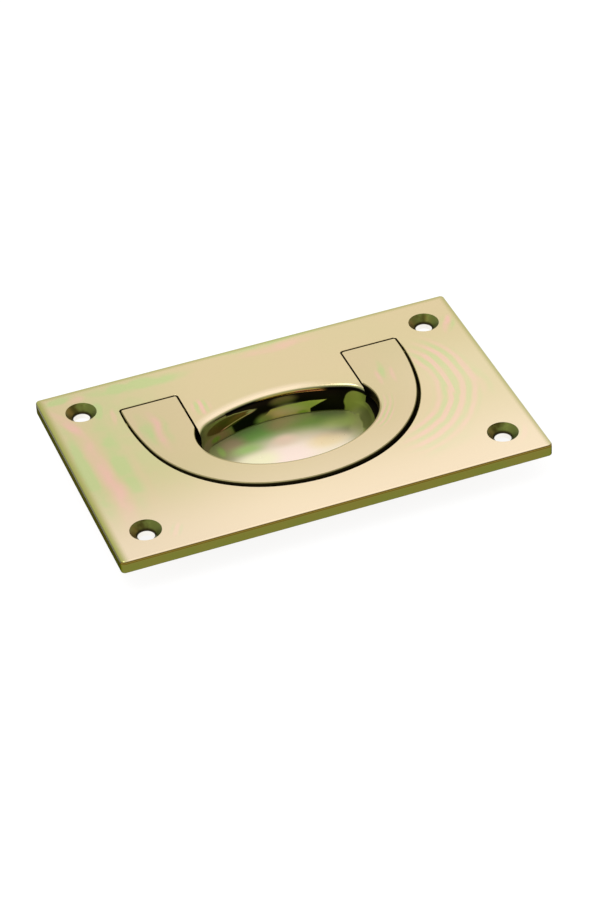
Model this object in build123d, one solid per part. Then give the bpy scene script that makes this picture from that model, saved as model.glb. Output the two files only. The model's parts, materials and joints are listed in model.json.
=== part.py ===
from build123d import *

import os
from math import sqrt

# Flush lift handle in cast brass.
#
# A rectangular plate carries a horseshoe-shaped handle that lies flush in a pocket of its own
# outline. Between the handle's legs the plate runs on as a tongue, and in front of the tongue
# is a finger well. The handle turns up to square on two long pins, which are driven in from the
# plate's short edges at half the plate's thickness and filed flush.
#
# Frame: millimetres. The origin is the centre of the plate's back, which seats on the work.
# +Z points out of the front, +X runs along the long side and +Y points towards the hinge.

# Plate
PLATE_LENGTH = 102.0
PLATE_WIDTH = 63.5
PLATE_THICK = 3.2
PLATE_CORNER_R = 1.0
PLATE_FRONT_EDGE_R = 0.55
PLATE_BACK_EDGE_R = 0.25

# Countersunk screw holes, one near each corner
SCREW_SPACING_X = 85.0
SCREW_SPACING_Y = 46.2
SCREW_HOLE_R = 1.95
SCREW_SINK_R = 3.6

# Handle: a slightly flattened disc cut off straight at the hinge end, with an oval and a straight
# gap inside. Three arcs make each half of its outline: the near side, the shoulder and the leg.
NEAR_ARC_Y = 16.75
SHOULDER_R = 31.4
SHOULDER_X = 1.85
SHOULDER_Y = 11.0
LEG_ARC_X = -27.5
LEG_ARC_Y = 17.8
HANDLE_END_Y = 20.2
HANDLE_THICK = 3.2
OVAL_HALF_X = 21.7
OVAL_HALF_Y = 15.3
OVAL_CENTRE_Y = 1.7
LEG_INNER_X = 20.4
LEG_CORNER_R = 0.5
LEG_BLEND_R = 4.0
HANDLE_FRONT_BREAK = 0.25
HANDLE_BACK_BREAK = 0.4
HEEL_R = 1.4

# Hinge
AXIS_Y = 15.5
AXIS_Z = PLATE_THICK / 2
PIN_R = 1.0
PIN_INNER_X = 16.5
PIN_CHAMFER = 0.2
LEG_BORE_CLEARANCE = 0.05

# Pocket round the handle: the same outline let out a little and set down towards the near side
POCKET_GAP = 0.37
POCKET_SET_DOWN = 1.05
POCKET_END_Y = 20.55
POCKET_DEPTH = HANDLE_THICK
POCKET_CORNER_R = 0.7
POCKET_BREAK = 0.15
TONGUE_HALF_X = 20.1

# Hollow under each leg's heel, which turns down as the handle comes up
HEEL_CLEARANCE = 0.1
HEEL_HOLLOW_FRONT = 3.0

# Finger well: far wall on one large arc, round ends, and an elliptical near side under the bar
WELL_FAR_R = 39.0
WELL_FAR_Y = 11.6
WELL_HALF_X = 20.3
WELL_END_R = 6.0
WELL_NEAR_Y = -17.0
WELL_DEPTH = 7.4
WELL_END_SLOPE = 2.3
WELL_END_TIGHTENING = 1.8
WELL_NEAR_SLOPE = 4.5
WELL_SECTIONS = 5
WELL_LIP_R = 1.3
WELL_RIM_BREAK = 0.25

# Back of the casting
CAST_WALL = 2.0
CAST_FLOOR = 1.8
CAST_BREAK = 0.8

FRONT_Z = PLATE_THICK
POCKET_Z = FRONT_Z - POCKET_DEPTH
WELL_Z = FRONT_Z - WELL_DEPTH
HEEL_REACH = HANDLE_END_Y - AXIS_Y
HOLLOW_Z = AXIS_Z - HEEL_REACH - HEEL_CLEARANCE
FAR_OUTSIDE = 4 * PLATE_LENGTH
TOUCHING = 0.01


def flattened_disc(end_y, grow=0.0, set_down=0.0):
    """Face of the handle's outer form, cut off straight at end_y.

    grow lets the outline out all round, and set_down moves it towards the near side. The three
    arcs of each half keep their centres as they grow, so they stay tangent.
    """
    near_centre = Vector(0, NEAR_ARC_Y)
    shoulder_centre = Vector(SHOULDER_X, SHOULDER_Y)
    leg_centre = Vector(LEG_ARC_X, LEG_ARC_Y)
    from_near = shoulder_centre - near_centre
    from_leg = shoulder_centre - leg_centre
    shoulder_r = SHOULDER_R + grow
    near_r = shoulder_r + from_near.length
    leg_r = shoulder_r + from_leg.length
    near_joint = shoulder_centre + from_near.normalized() * shoulder_r
    leg_joint = shoulder_centre + from_leg.normalized() * shoulder_r
    between = (from_near.normalized() + from_leg.normalized()).normalized()
    rise = end_y + set_down - LEG_ARC_Y
    leg_end = leg_centre + Vector(sqrt(leg_r**2 - rise**2), rise)

    shoulder = ThreePointArc(near_joint, shoulder_centre + between * shoulder_r, leg_joint)
    leg = ThreePointArc(leg_joint, leg_centre + Vector(leg_r, 0), leg_end)
    near = ThreePointArc(
        Vector(-near_joint.X, near_joint.Y),
        near_centre - Vector(0, near_r),
        near_joint,
    )
    end = Line(leg_end, Vector(-leg_end.X, leg_end.Y))
    left = [mirror(curve, about=Plane.YZ).edge() for curve in (leg, shoulder)]
    outline = Wire([near.edge(), shoulder.edge(), leg.edge(), end.edge(), *left])
    return Pos(0, -set_down) * make_face(outline.edges())


def well_wire(sink, grow=0.0):
    """Outline of the finger well, where sink runs from 0 at its rim to 1 at its floor.

    The far wall stays upright. The ends and the near side slope in as the square of sink.
    grow sets the whole outline outwards, for the outside of the casting.
    """
    half_x = WELL_HALF_X - WELL_END_SLOPE * sink**2 + grow
    end_r = WELL_END_R - WELL_END_TIGHTENING * sink**2 + grow
    far_r = WELL_FAR_R + grow
    near_y = WELL_NEAR_Y + WELL_NEAR_SLOPE * sink**2 - grow
    far_centre = Vector(0, WELL_FAR_Y - WELL_FAR_R)
    end_x = half_x - end_r
    end_y = far_centre.Y + sqrt((far_r - end_r) ** 2 - end_x**2)
    end_centre = Vector(end_x, end_y)
    towards_end = (end_centre - far_centre).normalized()
    tangent_point = far_centre + towards_end * far_r
    side_point = Vector(half_x, end_y)
    middle = ((tangent_point - end_centre).normalized() + Vector(1, 0)).normalized()
    near = EllipticalCenterArc((0, end_y), half_x, end_y - near_y, 180, arc_size=180)
    right_end = ThreePointArc(side_point, end_centre + middle * end_r, tangent_point)
    far = ThreePointArc(
        tangent_point,
        far_centre + Vector(0, far_r),
        Vector(-tangent_point.X, tangent_point.Y),
    )
    left_end = mirror(right_end, about=Plane.YZ)
    return Wire([near.edge(), right_end.edge(), far.edge(), left_end.edge()])


def well_face(sink=0.0, grow=0.0):
    """Face inside the well's outline."""
    return Face(well_wire(sink, grow))


def well_opening_cut():
    """The upright part of the well through the tongue, with the rolled lip on its edge."""
    block = Pos(0, 0, POCKET_Z) * extrude(Rectangle(PLATE_LENGTH, PLATE_WIDTH), POCKET_DEPTH)
    pierced = block - Pos(0, 0, POCKET_Z) * extrude(well_face(), POCKET_DEPTH)
    mouth = pierced.faces().sort_by(Axis.Z)[-1].inner_wires()[0]
    return block - fillet(mouth.edges(), WELL_LIP_R)


def well_cup_cut():
    """The cup below the pocket's floor, lofted from its rim down to its flat floor."""
    sections = []
    for step in range(WELL_SECTIONS):
        sink = step / (WELL_SECTIONS - 1)
        level = POCKET_Z + (WELL_Z - POCKET_Z) * sink
        sections.append(Pos(0, 0, level) * well_face(sink))
    return loft(sections)


def tongue_face():
    """Face of the square-ended tongue between the handle's legs, before the well cuts it."""
    length = POCKET_END_Y - OVAL_CENTRE_Y
    tongue = Rectangle(2 * TONGUE_HALF_X, length, align=(Align.CENTER, Align.MIN))
    return Pos(0, OVAL_CENTRE_Y) * tongue


def pocket_face():
    """Face of the horseshoe pocket round the tongue."""
    outline = flattened_disc(POCKET_END_Y, POCKET_GAP, POCKET_SET_DOWN) - tongue_face()
    far_corners = outline.vertices().filter_by(lambda v: abs(v.Y - POCKET_END_Y) < TOUCHING)
    return fillet(far_corners, POCKET_CORNER_R)


def heel_hollow_cut():
    """Deeper part of the pocket under both heels, with a sloping front."""
    front_y = AXIS_Y - HEEL_HOLLOW_FRONT
    ramp_y = front_y - (POCKET_Z - HOLLOW_Z)
    side_view = Plane.YZ * Polyline(
        (POCKET_END_Y, POCKET_Z),
        (POCKET_END_Y, HOLLOW_Z),
        (front_y, HOLLOW_Z),
        (ramp_y, POCKET_Z),
        close=True,
    )
    across = extrude(make_face(side_view), PLATE_LENGTH / 2, both=True)
    return across & (Pos(0, 0, HOLLOW_Z) * extrude(pocket_face(), POCKET_Z - HOLLOW_Z))


def screw_hole_cut():
    """One countersunk screw hole, on the plate's front face."""
    sink_depth = SCREW_SINK_R - SCREW_HOLE_R
    shank = Cylinder(SCREW_HOLE_R, 3 * PLATE_THICK)
    cone = Cone(SCREW_HOLE_R, SCREW_SINK_R, sink_depth, align=(Align.CENTER, Align.CENTER, Align.MAX))
    return shank + Pos(0, 0, FRONT_Z) * cone


def pin_body(radius, inner_x, side):
    """A round bar along the hinge axis, from inner_x to the plate's short edge on one side."""
    length = PLATE_LENGTH / 2 - inner_x
    bar = Cylinder(radius, length, align=(Align.CENTER, Align.CENTER, Align.MIN))
    return Pos(side * inner_x, AXIS_Y, AXIS_Z) * Rot(0, side * 90, 0) * bar


def skirt_face():
    """Outline of the cast back round the pocket, with a wall's thickness all round it."""
    return flattened_disc(POCKET_END_Y + CAST_WALL, POCKET_GAP + CAST_WALL, POCKET_SET_DOWN)


def recess_face():
    """Outline of the bare part of the back, between the two heels and behind the tongue."""
    half_x = TONGUE_HALF_X - CAST_WALL
    bare = Rectangle(2 * half_x, PLATE_WIDTH, align=(Align.CENTER, Align.MIN))
    return Pos(0, OVAL_CENTRE_Y) * bare


def pocket_pan():
    """The shallow pan that closes the horseshoe pocket behind."""
    pan_z = POCKET_Z - CAST_FLOOR
    horseshoe = skirt_face() - (recess_face() - well_face(grow=CAST_WALL))
    pan = Pos(0, 0, pan_z) * extrude(horseshoe, -pan_z)
    return chamfer(pan.faces().sort_by(Axis.Z)[0].edges(), CAST_BREAK)


def heel_lumps():
    """The deeper lump behind each heel, sloped in front and broken along its lower edges."""
    front_y = AXIS_Y - HEEL_HOLLOW_FRONT - (POCKET_Z - HOLLOW_Z) - CAST_WALL
    heel_zone = Pos(0, front_y) * Rectangle(
        FAR_OUTSIDE, FAR_OUTSIDE, align=(Align.CENTER, Align.MIN)
    )
    low_z = HOLLOW_Z - CAST_FLOOR
    lumps = Pos(0, 0, low_z) * extrude((skirt_face() - recess_face()) & heel_zone, -low_z)
    front_edges = lumps.edges().filter_by(Axis.X).group_by(Axis.Z)[0].group_by(Axis.Y)[0]
    lumps = chamfer(front_edges, CAST_WALL)
    return chamfer(lumps.faces().sort_by(Axis.Z)[0:2].edges(), CAST_BREAK)


def cup_outside():
    """The outside of the finger well's cup, tapering to its foot."""
    brim = well_face(sink=0, grow=CAST_WALL)
    shoulder = Pos(0, 0, WELL_Z) * well_face(sink=1, grow=CAST_WALL)
    foot = Pos(0, 0, WELL_Z - CAST_WALL) * well_face(sink=1)
    return loft([brim, shoulder, foot], ruled=True)


def cast_back():
    """Walls and floors that stand out behind the plate round the pocket, heels and well.

    The rim of the well is bevelled where the pocket's floor is open to it, but not below the
    tongue, whose front runs straight down into the well's far wall.
    """
    back = pocket_pan() + heel_lumps() + cup_outside() - well_cup_cut()
    rim = back.faces().sort_by(Axis.Z)[-1].inner_wires()[0]
    back = chamfer(rim.edges(), WELL_RIM_BREAK)
    tongue_root = Pos(0, 0, POCKET_Z) * extrude(tongue_face() - well_face(), -WELL_RIM_BREAK)
    return back + tongue_root


def front_plate():
    """The plate with its tongue, pocket, finger well and cast back, in one casting."""
    plate = extrude(Rectangle(PLATE_LENGTH, PLATE_WIDTH), PLATE_THICK)
    plate = fillet(plate.edges().filter_by(Axis.Z), PLATE_CORNER_R)
    plate = fillet(plate.faces().sort_by(Axis.Z)[-1].edges(), PLATE_FRONT_EDGE_R)
    plate = fillet(plate.faces().sort_by(Axis.Z)[0].edges(), PLATE_BACK_EDGE_R)

    plate = plate - Pos(0, 0, POCKET_Z) * extrude(pocket_face(), POCKET_DEPTH)
    front = plate.faces().sort_by(Axis.Z)[-1]
    plate = chamfer(front.inner_wires()[0].edges(), POCKET_BREAK)
    plate = plate - well_opening_cut()
    plate = plate + cast_back()
    plate = plate - heel_hollow_cut()

    for x in (-SCREW_SPACING_X / 2, SCREW_SPACING_X / 2):
        for y in (-SCREW_SPACING_Y / 2, SCREW_SPACING_Y / 2):
            plate = plate - Pos(x, y) * screw_hole_cut()
    for side in (-1, 1):
        plate = plate - pin_body(PIN_R, PIN_INNER_X - PIN_CHAMFER, side)
    return plate


def handle():
    """The horseshoe handle, with a cross bore in each leg and rounded heels."""
    outline = flattened_disc(HANDLE_END_Y)
    gap = Rectangle(2 * LEG_INNER_X, PLATE_WIDTH, align=(Align.CENTER, Align.MIN))
    outline = outline - Pos(0, OVAL_CENTRE_Y) * (Ellipse(OVAL_HALF_X, OVAL_HALF_Y) + gap)
    inner = outline.vertices().filter_by(lambda v: abs(abs(v.X) - LEG_INNER_X) < TOUCHING)
    knees = [v for v in inner if v.Y < AXIS_Y]
    outline = fillet(knees, LEG_BLEND_R)
    corners = outline.vertices().filter_by(lambda v: abs(v.Y - HANDLE_END_Y) < TOUCHING)
    outline = fillet(corners, LEG_CORNER_R)

    low_z = FRONT_Z - HANDLE_THICK
    body = Pos(0, 0, low_z) * extrude(outline, HANDLE_THICK)
    body = chamfer(body.faces().sort_by(Axis.Z)[-1].edges(), HANDLE_FRONT_BREAK)
    body = chamfer(body.faces().sort_by(Axis.Z)[0].edges(), HANDLE_BACK_BREAK)

    corner = Pos(0, HANDLE_END_Y, low_z) * Box(PLATE_LENGTH, 2 * HEEL_R, 2 * HEEL_R)
    round_bar = Rot(0, 90, 0) * Cylinder(HEEL_R, PLATE_LENGTH)
    round_bar = Pos(0, HANDLE_END_Y - HEEL_R, low_z + HEEL_R) * round_bar
    body = body - (corner - round_bar)

    bore = Rot(0, 90, 0) * Cylinder(PIN_R + LEG_BORE_CLEARANCE, PLATE_LENGTH)
    return body - Pos(0, AXIS_Y, AXIS_Z) * bore


def hinge_pin(side):
    """One hinge pin: side is -1 for the left and 1 for the right."""
    pin = pin_body(PIN_R, PIN_INNER_X, side)
    inner_end = pin.edges().sort_by(Axis.X)[0 if side > 0 else -1]
    return chamfer(inner_end, PIN_CHAMFER)


def main():
    """Builds every piece and writes one STEP file for each."""
    os.makedirs("parts", exist_ok=True)
    pieces = {
        "front_plate": front_plate(),
        "handle": handle(),
        "left_hinge_pin": hinge_pin(-1),
        "right_hinge_pin": hinge_pin(1),
    }
    for name, piece in pieces.items():
        export_step(piece, f"parts/{name}.step")


main()
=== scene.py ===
"""Dresses the flush lift handle in polished cast brass and sets it in a pale studio.

The castings keep the exact form of their solids: each is taken over as one welded skin whose
normals follow the true surfaces, so that flats mirror as flats and rounded edges as rounds.
The two hinge pins are turned from a node tree. Sizes are in millimetres unless a name says
otherwise, and every finish is worked out from its place on the object.
"""

import json
import logging
from abc import ABC, abstractmethod
from dataclasses import dataclass, field
from enum import Enum, IntEnum
from math import atan2, cos, degrees, hypot, pi, radians, sin

import bmesh
import bpy
import numpy as np
from mathutils import Matrix, Vector
from mathutils.bvhtree import BVHTree


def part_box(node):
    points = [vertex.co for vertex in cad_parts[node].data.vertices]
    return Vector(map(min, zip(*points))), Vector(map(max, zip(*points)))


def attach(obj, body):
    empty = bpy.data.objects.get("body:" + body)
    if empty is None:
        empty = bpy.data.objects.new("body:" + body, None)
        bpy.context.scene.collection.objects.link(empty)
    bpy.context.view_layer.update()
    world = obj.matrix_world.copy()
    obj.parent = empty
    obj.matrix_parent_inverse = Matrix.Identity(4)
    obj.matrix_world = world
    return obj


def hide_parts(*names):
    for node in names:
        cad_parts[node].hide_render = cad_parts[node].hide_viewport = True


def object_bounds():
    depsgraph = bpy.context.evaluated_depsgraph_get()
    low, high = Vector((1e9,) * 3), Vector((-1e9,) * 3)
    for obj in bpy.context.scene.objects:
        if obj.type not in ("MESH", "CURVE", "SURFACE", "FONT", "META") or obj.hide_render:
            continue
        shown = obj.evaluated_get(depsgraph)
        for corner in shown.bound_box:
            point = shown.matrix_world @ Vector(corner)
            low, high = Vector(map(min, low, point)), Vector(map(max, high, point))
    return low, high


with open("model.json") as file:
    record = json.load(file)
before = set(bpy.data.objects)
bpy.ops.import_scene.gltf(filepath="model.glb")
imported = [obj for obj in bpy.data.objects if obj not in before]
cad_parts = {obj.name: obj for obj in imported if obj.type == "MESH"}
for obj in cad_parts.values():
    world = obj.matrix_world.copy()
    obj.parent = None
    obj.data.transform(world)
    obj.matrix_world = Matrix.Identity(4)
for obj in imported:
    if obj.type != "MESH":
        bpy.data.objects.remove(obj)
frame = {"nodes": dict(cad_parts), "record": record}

MM = 0.001
CAD_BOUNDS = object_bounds()
LOG = logging.getLogger("flush_lift_handle")

Colour = tuple[float, float, float]
Point2 = tuple[float, float]
Point3 = tuple[float, float, float]

WELL_ARC_CENTRE: Point2 = (0.0, -27.4)
WELL_ARC_RADIUS = 39.0


class Node(str, Enum):
    """The solids that the frame brings in."""

    PLATE = "front_plate"
    HANDLE = "handle"
    LEFT_PIN = "left_hinge_pin"
    RIGHT_PIN = "right_hinge_pin"


class Body(str, Enum):
    """The rigid bodies that pieces ride on."""

    PLATE = "plate"
    HANDLE = "handle"


class Slot(str, Enum):
    """The record's material slots."""

    PLATE = "plate_brass"
    HANDLE = "handle_brass"
    PIN = "pin_brass"


class PlateZone(IntEnum):
    """The plate's zones, in the order of their finishes."""

    FACE = 0
    SINK = 1
    POCKET = 2
    WELL = 3
    BACK = 4
    SIDE = 5


class HandleZone(IntEnum):
    """The handle's zones, in the order of their finishes."""

    FRONT = 0
    SIDE = 1
    UNDERSIDE = 2


def linear(red: int, green: int, blue: int) -> Colour:
    """Turns a colour written in display values into the linear values that shaders use.

    Args:
        red: Red from 0 to 255.
        green: Green from 0 to 255.
        blue: Blue from 0 to 255.

    Returns:
        The same colour as linear red, green and blue from 0 to 1.
    """
    parts = []
    for level in (red, green, blue):
        share = level / 255
        parts.append(share / 12.92 if share <= 0.04045 else ((share + 0.055) / 1.055) ** 2.4)
    return tuple(parts)


# ----------------------------------------------------------------------------------------------
# Nodes
# ----------------------------------------------------------------------------------------------


class Socket:
    """A node's output. Arithmetic on it adds Math nodes to its tree."""

    def __init__(self, tree: "NodeTree", output: bpy.types.NodeSocket | None) -> None:
        """Wraps an output of a node in this tree, or nothing for a node that has none."""
        self.tree = tree
        self.output = output

    def maths(self, operation: str, *values: "Socket | float") -> "Socket":
        """Adds one Math node with these values as its inputs in order."""
        return self.tree.node("ShaderNodeMath", {"operation": operation}, dict(enumerate(values)))

    def __add__(self, other: "Socket | float") -> "Socket":
        """Self plus other."""
        return self.maths("ADD", self, other)

    def __radd__(self, other: float) -> "Socket":
        """Other plus self."""
        return self.maths("ADD", other, self)

    def __sub__(self, other: "Socket | float") -> "Socket":
        """Self less other."""
        return self.maths("SUBTRACT", self, other)

    def __rsub__(self, other: float) -> "Socket":
        """Other less self."""
        return self.maths("SUBTRACT", other, self)

    def __mul__(self, other: "Socket | float") -> "Socket":
        """Self times other."""
        return self.maths("MULTIPLY", self, other)

    def __rmul__(self, other: float) -> "Socket":
        """Other times self."""
        return self.maths("MULTIPLY", other, self)

    def __truediv__(self, other: "Socket | float") -> "Socket":
        """Self over other."""
        return self.maths("DIVIDE", self, other)

    def __abs__(self) -> "Socket":
        """Self without its sign."""
        return self.maths("ABSOLUTE", self)

    def root(self) -> "Socket":
        """The square root of self."""
        return self.maths("SQRT", self)

    def sine(self) -> "Socket":
        """The sine of self in radians."""
        return self.maths("SINE", self)

    def angle(self, along: "Socket") -> "Socket":
        """The angle in radians of a point that lies self across and so far along."""
        return self.maths("ARCTAN2", self, along)

    def sign(self) -> "Socket":
        """1 where self is above nothing and -1 where it is below."""
        return self.maths("SIGN", self)

    def larger(self, other: "Socket | float") -> "Socket":
        """The larger of the two."""
        return self.maths("MAXIMUM", self, other)

    def step(self, low: float, high: float) -> "Socket":
        """Eases from 0 where self is low to 1 where self is high.

        Args:
            low: The value that gives 0.
            high: The value that gives 1. It may be the smaller of the two.

        Returns:
            The eased share.
        """
        settings = {"interpolation_type": "SMOOTHSTEP"}
        ends = {0: self, 1: min(low, high), 2: max(low, high)}
        rising = self.tree.node("ShaderNodeMapRange", settings, ends)
        return rising if low <= high else 1.0 - rising


@dataclass
class NodeTree:
    """A tree of nodes, with one method that makes any of them."""

    tree: bpy.types.NodeTree

    def __post_init__(self) -> None:
        """Empties the tree."""
        self.tree.nodes.clear()

    def node(
        self,
        kind: str,
        settings: dict[str, object] | None = None,
        inputs: dict[int | str, object] | None = None,
        output: int | str = 0,
    ) -> Socket:
        """Makes a node.

        Args:
            kind: The node's type.
            settings: Its settings, set first. A ramp's "stops" are (place, colour) pairs.
            inputs: A value or a Socket for each of its inputs, by name or by number.
            output: Which output to hand back.

        Returns:
            That output.
        """
        made = self.tree.nodes.new(kind)
        for name, value in (settings or {}).items():
            if name == "stops":
                self._set_stops(made.color_ramp.elements, value)
            else:
                setattr(made, name, value)
        for name, value in (inputs or {}).items():
            if isinstance(value, Socket):
                self.tree.links.new(value.output, made.inputs[name])
            else:
                made.inputs[name].default_value = value
        return Socket(self, made.outputs[output] if made.outputs else None)

    @staticmethod
    def _set_stops(elements: bpy.types.bpy_prop_collection, stops: list[tuple[float, Colour]]) -> None:
        """Gives a ramp its stops.

        Args:
            elements: The ramp's own stops, which are changed.
            stops: Pairs of place and colour, in order.
        """
        while len(elements) < len(stops):
            elements.new(1.0)
        for element, (place, colour) in zip(elements, stops):
            element.position = place
            element.color = (*colour, 1.0)


class ShaderTree(NodeTree):
    """A material's or the world's nodes."""

    def mix(self, share: Socket | float, first: Socket | Colour, second: Socket | Colour) -> Socket:
        """Mixes two colours.

        Args:
            share: How much of the second there is, from 0 to 1.
            first: The colour at 0.
            second: The colour at 1.

        Returns:
            The mixed colour.
        """
        ends = [value if isinstance(value, Socket) else (*value, 1.0) for value in (first, second)]
        return self.node(
            "ShaderNodeMix", {"data_type": "RGBA"}, {0: share, 6: ends[0], 7: ends[1]}, output=2
        )

    def scaled(self, vector: Socket, gain: Socket | float) -> Socket:
        """Multiplies a colour or a vector by a number that may vary over the surface."""
        return self.node("ShaderNodeVectorMath", {"operation": "SCALE"}, {0: vector, 3: gain})

    def ramp(self, value: Socket, stops: list[tuple[float, Colour]]) -> Socket:
        """Looks a value from 0 to 1 up in a ramp of places and colours."""
        return self.node("ShaderNodeValToRGB", {"stops": stops}, {0: value})

    def place(self) -> "Place":
        """Finds the shaded point.

        Returns:
            The point in the object's own frame, in millimetres.
        """
        point = self.scaled(self.node("ShaderNodeTexCoord", output="Object"), 1 / MM)
        x, y, z = (self.node("ShaderNodeSeparateXYZ", None, {0: point}, axis) for axis in range(3))
        return Place(x, y, z, point)

    def noise(self, point: Socket, size: float, detail: float, stretch: Point3 = (1, 1, 1)) -> Socket:
        """Reads smooth noise.

        Args:
            point: Where, in millimetres.
            size: The size of its blotches in millimetres.
            detail: How many finer layers there are.
            stretch: How much faster it varies along each axis.

        Returns:
            The noise, about 0.5 on average.
        """
        scale = tuple(times / size for times in stretch)
        where = self.node("ShaderNodeVectorMath", {"operation": "MULTIPLY"}, {0: point, 1: scale})
        return self.node("ShaderNodeTexNoise", None, {"Vector": where, "Scale": 1.0, "Detail": detail})


@dataclass
class Flat:
    """The shaded point in one flat view of the object, in millimetres."""

    u: Socket
    v: Socket

    def across(self, centre: Point2, heading: float) -> tuple[Socket, Socket]:
        """Measures the point from a centre along and across a heading.

        Args:
            centre: The centre's two places in this view.
            heading: The heading in degrees from the view's first axis.

        Returns:
            The distance along the heading and the distance across it, to its left.
        """
        turn = radians(heading)
        right, up = self.u - centre[0], self.v - centre[1]
        return right * cos(turn) + up * sin(turn), up * cos(turn) - right * sin(turn)

    def distance(self, centre: Point2) -> Socket:
        """Distance from a centre."""
        right, up = self.u - centre[0], self.v - centre[1]
        return (right * right + up * up).root()

    def oval(self, centre: Point2, half_size: Point2, heading: float = 0.0) -> Socket:
        """How far out in an oval the point is: 0 at its centre and 1 on its edge.

        Args:
            centre: The oval's centre.
            half_size: Its half length and half width.
            heading: The heading of its length in degrees.

        Returns:
            The share of the way out.
        """
        along, across = self.across(centre, heading)
        long_share, wide_share = along * (1 / half_size[0]), across * (1 / half_size[1])
        return (long_share * long_share + wide_share * wide_share).root()

    def left_of(self, start: Point2, end: Point2) -> Socket:
        """Distance to the left of the line that runs from start to end."""
        return self.across(start, degrees(atan2(end[1] - start[1], end[0] - start[0])))[1]


@dataclass
class Place:
    """The shaded point: its three parts, and the three together."""

    x: Socket
    y: Socket
    z: Socket
    point: Socket

    def plan(self) -> Flat:
        """The point seen from the front of the plate, with +X right and +Y up."""
        return Flat(self.x, self.y)

    def upright(self) -> Flat:
        """The point seen along the plate's width, with +X right and +Z up."""
        return Flat(self.x, self.z)

    def under(self, top: float, low: float, high: float) -> Socket:
        """Eases in from one depth under a top to another."""
        return self.z.step(top - low, top - high)


# ----------------------------------------------------------------------------------------------
# Finishes
# ----------------------------------------------------------------------------------------------


@dataclass(frozen=True)
class Tones:
    """The tones of lacquered brass, from clean metal to the skin it was cast with, and the painted
    highlight and painted shade laid over them.
    """

    green: Colour = linear(203, 212, 150)
    plain: Colour = linear(223, 205, 160)
    pink: Colour = linear(240, 197, 176)
    # Painted highlight: the creamy tone the face takes towards its near edge and beside the well's lip.
    highlight_cream: Colour = linear(251, 230, 200)
    pale: Colour = linear(240, 226, 188)
    # Painted shade: the greenish tone the face fades to at its left, right and far edges and at the
    # right end of the well's lip.
    painted_edge_shade: Colour = linear(160, 163, 84)
    # Painted shade: the dark line laid along the rounded left, right and far edges of the plate.
    line: Colour = (0.1, 0.095, 0.035)
    # The plate's filed sides and the pin ends: partly the metal's own dull colour, partly painted
    # shade.
    olive_and_painted_shade: Colour = (0.18, 0.19, 0.034)
    # Painted shade, laid at the foot of the countersinks and in the crease at the foot of the well's
    # wall.
    shade: Colour = (0.028, 0.021, 0.007)
    clean_edge: Colour = (1.0, 1.0, 1.0)
    dull_edge: Colour = (0.5, 0.45, 0.3)
    dark_edge: Colour = (0.2, 0.2, 0.06)


TONES = Tones()


class Band(ABC):
    """Interference colours in the lacquer."""

    @abstractmethod
    def tint(self, plan: Flat, wander: Socket) -> Socket:
        """How far the colour leans, from -1 for green to 1 for pink."""


@dataclass(frozen=True)
class Streaks(Band):
    """Side by side streaks in an oval patch."""

    centre: Point2
    half_size: Point2
    heading: float
    period: float
    strength: float
    start: float = 0.25
    edge: float = 0.35

    def tint(self, plan: Flat, wander: Socket) -> Socket:
        """Waves across the heading, fading out at the oval's edge.

        Args:
            plan: The shaded point from the front.
            wander: A slow drift in millimetres that keeps the streaks from running dead straight.

        Returns:
            The lean of the colour.
        """
        across = plan.across(self.centre, self.heading)[1]
        out = plan.oval(self.centre, self.half_size, self.heading)
        wave = ((across + wander) * (2 * pi / self.period) + 2 * pi * self.start).sine()
        return wave * out.step(1.0, self.edge) * self.strength


@dataclass(frozen=True)
class Blush(Band):
    """One soft oval breath of a single colour."""

    centre: Point2
    half_size: Point2
    heading: float
    strength: float
    edge: float = 0.2

    def tint(self, plan: Flat, wander: Socket) -> Socket:
        """Fades from the oval's middle to its edge.

        Args:
            plan: The shaded point from the front.
            wander: A slow drift in millimetres that makes the edge uneven.

        Returns:
            The lean of the colour.
        """
        drifted = Flat(plan.u + wander, plan.v - wander)
        out = drifted.oval(self.centre, self.half_size, self.heading)
        return out.step(1.0, self.edge) * self.strength


@dataclass(frozen=True)
class Rings(Band):
    """Concentric rings in a sector."""

    centre: Point2
    near: float
    far: float
    heading: float
    half_angle: float
    period: float
    strength: float
    soft_share: float = 0.35
    full_share: float = 0.55

    def tint(self, plan: Flat, wander: Socket) -> Socket:
        """Waves out from the centre, fading out at the sector's edges.

        Args:
            plan: The shaded point from the front.
            wander: A slow drift in millimetres that makes the rings waver.

        Returns:
            The lean of the colour.
        """
        radius = plan.distance(self.centre)
        along, across = plan.across(self.centre, self.heading)
        soft = (self.far - self.near) * self.soft_share
        inside = radius.step(self.near, self.near + soft) * radius.step(self.far, self.far - soft)
        full_angle = self.half_angle * self.full_share
        sector = abs(across).angle(along).step(radians(self.half_angle), radians(full_angle))
        wave = ((radius + wander * 0.5) * (2 * pi / self.period)).sine()
        return wave * inside * sector * self.strength


@dataclass(frozen=True)
class Patch(ABC):
    """A patch of another colour with a soft edge."""

    colour: Colour
    soft: float

    @abstractmethod
    def cover(self, flat: Flat) -> Socket:
        """How much of the surface the patch covers, from 0 to 1."""


@dataclass(frozen=True)
class OvalPatch(Patch):
    """An oval patch, whose softness is a share of its size."""

    centre: Point2
    half_size: Point2
    heading: float = 0.0

    def cover(self, flat: Flat) -> Socket:
        """Full inside the oval and nothing outside it."""
        return flat.oval(self.centre, self.half_size, self.heading).step(1 + self.soft, 1 - self.soft)


@dataclass(frozen=True)
class SidedPatch(Patch):
    """A patch with straight sides, whose corners run counter-clockwise."""

    corners: tuple[Point2, ...]

    def cover(self, flat: Flat) -> Socket:
        """Full to the left of every side.

        Args:
            flat: The shaded point.

        Returns:
            The cover.
        """
        total: Socket | float = 1.0
        for start, end in zip(self.corners, self.corners[1:] + self.corners[:1]):
            total = flat.left_of(start, end).step(-self.soft, self.soft) * total
        return total


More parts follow.
